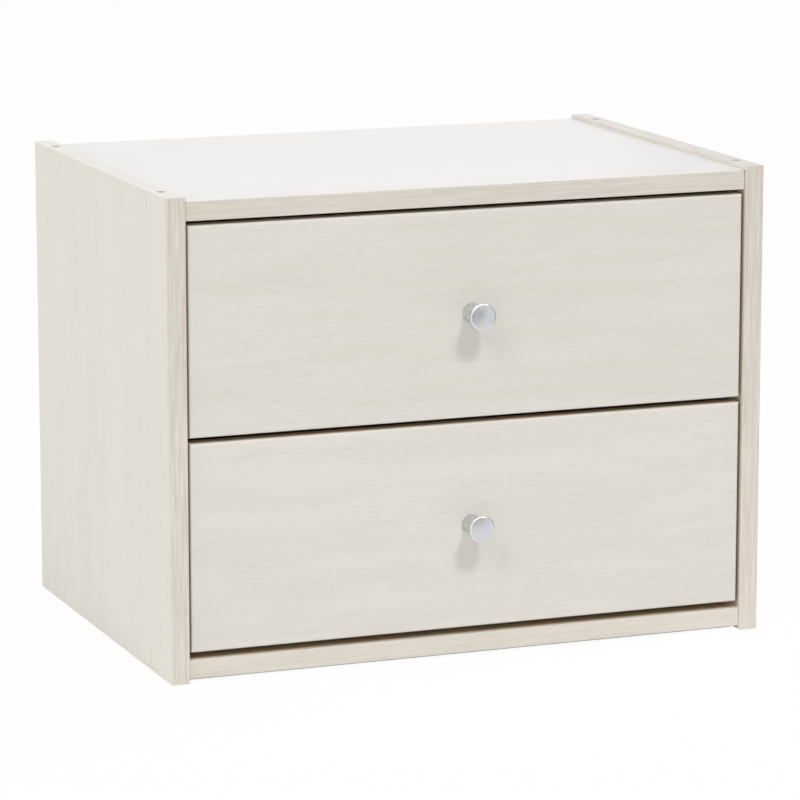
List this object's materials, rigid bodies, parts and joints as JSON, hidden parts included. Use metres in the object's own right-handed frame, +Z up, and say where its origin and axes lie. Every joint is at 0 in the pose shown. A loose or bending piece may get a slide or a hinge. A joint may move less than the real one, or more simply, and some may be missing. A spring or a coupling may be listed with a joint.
{
  "type": "cd storage drawer",
  "caption": "Low tabletop cabinet for disc cases: white laminated carcass with stacked full-width drawers on side runners, each with a turned metal knob at its centre.",
  "frame": {"origin": "middle of the carcass footprint, on the surface it stands on", "axes": "+X to the right seen from the front, +Y to the back (the drawers open towards -Y), +Z up"},
  "size_m": [0.4162, 0.309, 0.315],
  "materials": {
    "board_laminate": "smooth cream-white printed paper on particle board",
    "edge_band": "streaked white wood-grain edge band",
    "front_laminate": "white wood-grain printed paper, fine horizontal grain",
    "hardboard": "thin hardboard with a white printed face",
    "runner_plastic": "moulded white plastic",
    "screw_cover": "thin matt cream cover",
    "beech": "plain beech dowel",
    "zinc_plated_steel": "zinc-plated steel",
    "cam_zinc": "die-cast zinc",
    "knob_aluminium": "satin turned aluminium"
  },
  "bodies": {
    "carcass": {"left_side_panel": "board_laminate", "right_side_panel": "board_laminate", "left_edge_band": "edge_band", "right_edge_band": "edge_band", "top_board": "board_laminate", "top_board_edge_band": "edge_band", "bottom_board": "board_laminate", "bottom_board_edge_band": "edge_band", "back_panel": "hardboard", "lower_left_runner": "runner_plastic", "lower_right_runner": "runner_plastic", "upper_left_runner": "runner_plastic", "upper_right_runner": "runner_plastic", "carcass_screws": "zinc_plated_steel", "screw_covers": "screw_cover", "carcass_dowels": "beech", "runner_screws": "zinc_plated_steel"},
    "lower_drawer": {"lower_drawer_front": "front_laminate", "lower_drawer_left_side": "board_laminate", "lower_drawer_right_side": "board_laminate", "lower_drawer_back": "board_laminate", "lower_drawer_bottom": "hardboard", "lower_knob": "knob_aluminium", "lower_knob_screw": "zinc_plated_steel", "lower_drawer_dowels": "beech", "lower_drawer_cam_bolts": "zinc_plated_steel", "lower_drawer_cam_locks": "cam_zinc", "lower_drawer_back_screws": "zinc_plated_steel"},
    "upper_drawer": {"upper_drawer_front": "front_laminate", "upper_drawer_left_side": "board_laminate", "upper_drawer_right_side": "board_laminate", "upper_drawer_back": "board_laminate", "upper_drawer_bottom": "hardboard", "upper_knob": "knob_aluminium", "upper_knob_screw": "zinc_plated_steel", "upper_drawer_dowels": "beech", "upper_drawer_cam_bolts": "zinc_plated_steel", "upper_drawer_cam_locks": "cam_zinc", "upper_drawer_back_screws": "zinc_plated_steel"}
  },
  "joints": [
    {"name": "lower_drawer_slide", "type": "slide", "parent": "carcass", "child": "lower_drawer", "axis": [0, -1, 0], "range_m": [0, 0.19]},
    {"name": "upper_drawer_slide", "type": "slide", "parent": "carcass", "child": "upper_drawer", "axis": [0, -1, 0], "range_m": [0, 0.19]}
  ]
}
